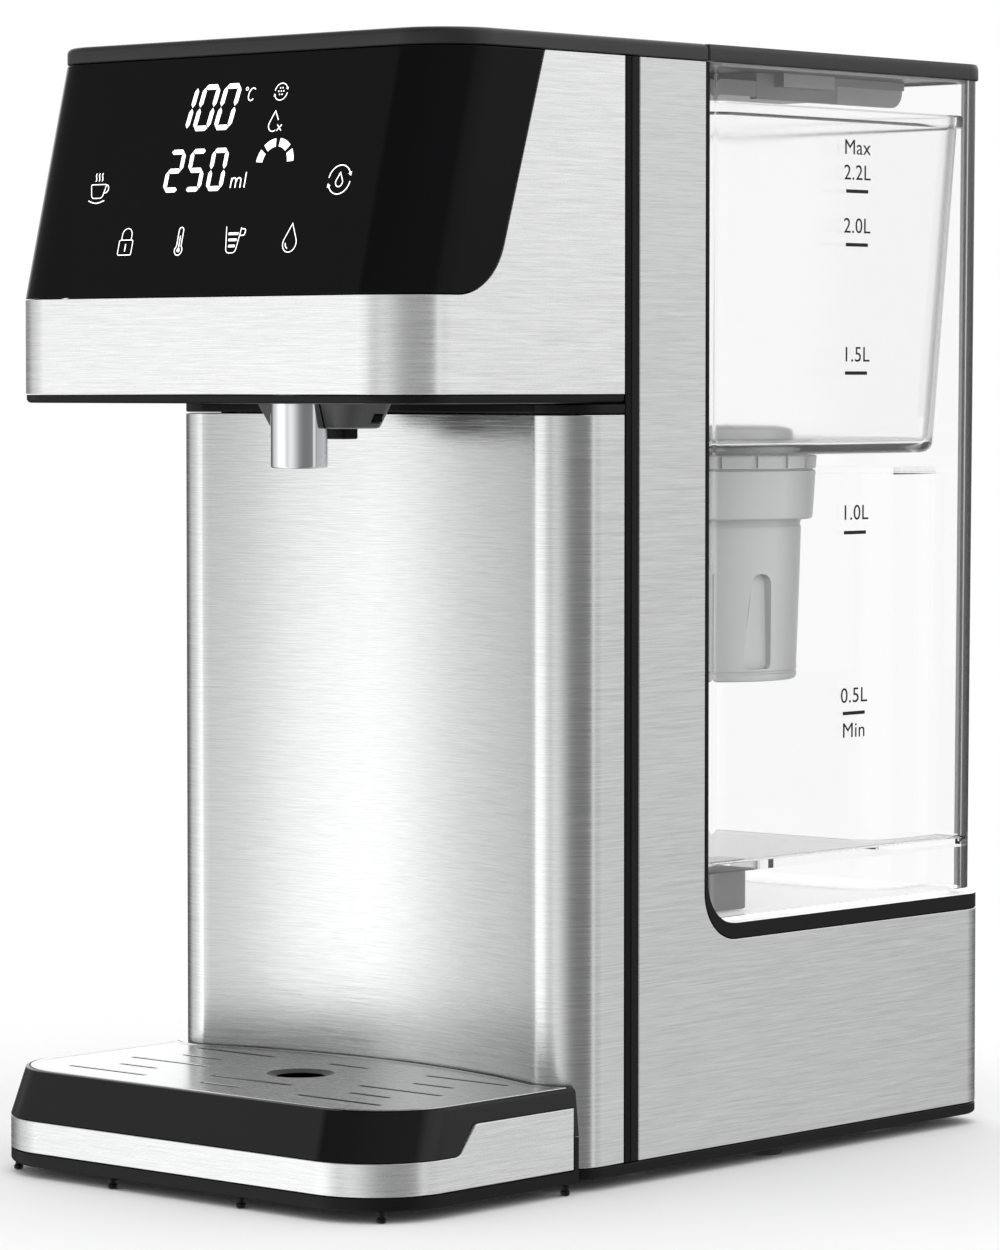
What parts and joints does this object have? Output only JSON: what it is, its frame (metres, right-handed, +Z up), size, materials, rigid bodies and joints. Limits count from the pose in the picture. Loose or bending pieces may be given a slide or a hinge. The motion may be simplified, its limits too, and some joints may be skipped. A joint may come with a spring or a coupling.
{
  "type": "countertop water dispenser",
  "caption": "Countertop instant hot-water dispenser: steel column and head with touch display, chrome nozzle, pull-out drip tray and lift-off filtering water tank.",
  "frame": {"origin": "centre of the footprint, on the surface it stands on", "axes": "+Z up, -Y out of the front where the nozzle and the drip tray are, +X to the right seen from the front"},
  "size_m": [0.1544, 0.265, 0.312],
  "materials": {
    "brushed_steel": "brushed along the horizontal",
    "chrome": "polished",
    "gloss_black": "high gloss",
    "black_plastic": "satin",
    "grey_plastic": "satin",
    "white_plastic": "satin",
    "clear_plastic": "clear, glossy",
    "frosted_plastic": "translucent",
    "rubber": "matte",
    "silicone": "satin",
    "aluminium": "satin",
    "circuit_board": "solder mask with parts"
  },
  "bodies": {
    "main": {"base_foot_front_left": "rubber", "base_foot_front_right": "rubber", "base_foot_middle_left": "rubber", "base_foot_middle_right": "rubber", "base_foot_rear_left": "rubber", "base_foot_rear_right": "rubber", "base_plate": "black_plastic", "base_screw_1": "aluminium", "base_screw_2": "aluminium", "base_screw_3": "aluminium", "base_screw_4": "aluminium", "column_cap": "black_plastic", "column_frame": "grey_plastic", "column_skin": "brushed_steel", "control_glass": "gloss_black", "cord_gland": "black_plastic", "display_board": "circuit_board", "flow_meter_body": "white_plastic", "head_skin": "brushed_steel", "head_underside": "black_plastic", "heater_cap_bottom": "black_plastic", "heater_cap_top": "black_plastic", "heater_hose": "silicone", "heater_tube": "aluminium", "hot_hose": "silicone", "nozzle": "chrome", "nozzle_sensor": "black_plastic", "nozzle_shroud": "grey_plastic", "outlet_chamber": "white_plastic", "power_board": "circuit_board", "pump_head": "white_plastic", "pump_hose": "silicone", "pump_motor": "aluminium", "rear_skin": "brushed_steel", "sensor_window": "gloss_black", "side_trim_left": "black_plastic", "side_trim_right": "black_plastic", "socket_seal": "silicone", "suction_hose": "silicone", "tank_cradle": "black_plastic", "tank_socket": "grey_plastic", "top_cover": "black_plastic"},
    "tank": {"tank_shell": "clear_plastic", "valve_housing": "grey_plastic", "valve_spring": "aluminium", "hopper": "frosted_plastic", "filter_collar": "white_plastic", "filter_cartridge": "white_plastic"},
    "plunger": {"valve_plunger": "white_plastic", "valve_seal": "silicone"},
    "lid": {"tank_lid": "black_plastic", "handle_rod": "aluminium"},
    "handle": {"lid_handle": "black_plastic"},
    "tray": {"tray_basin": "black_plastic", "tray_band": "brushed_steel", "tray_bezel": "gloss_black"},
    "plate": {"drip_plate": "brushed_steel"},
    "pump_rotor": {"pump_impeller": "white_plastic"},
    "meter_rotor": {"flow_meter_rotor": "white_plastic"}
  },
  "joints": [
    {"name": "tank_lift", "type": "slide", "parent": "main", "child": "tank", "axis": [0, 0, 1], "range_m": [0, 0.26]},
    {"name": "valve_lift", "type": "slide", "parent": "tank", "child": "plunger", "axis": [0, 0, 1], "range_m": [0, 0.003], "stiffness_N_per_m": 200, "springref_m": -0.004, "deforming": ["valve_spring"]},
    {"name": "lid_lift", "type": "slide", "parent": "tank", "child": "lid", "axis": [0, 0, 1], "range_m": [0, 0.06]},
    {"name": "handle_fold", "type": "hinge", "parent": "lid", "child": "handle", "pos_m": [0, 0.066, 0.308], "axis": [1, 0, 0], "range_deg": [0, 90]},
    {"name": "tray_pull", "type": "slide", "parent": "main", "child": "tray", "axis": [0, -1, 0], "range_m": [0, 0.12]},
    {"name": "plate_lift", "type": "slide", "parent": "tray", "child": "plate", "axis": [0, 0, 1], "range_m": [0, 0.05]},
    {"name": "pump_spin", "type": "hinge", "parent": "main", "child": "pump_rotor", "pos_m": [0.02, 0.05, 0.036], "axis": [0, 1, 0], "continuous": true},
    {"name": "meter_spin", "type": "hinge", "parent": "main", "child": "meter_rotor", "pos_m": [-0.035, 0.05, 0.036], "axis": [0, 0, 1], "continuous": true}
  ]
}
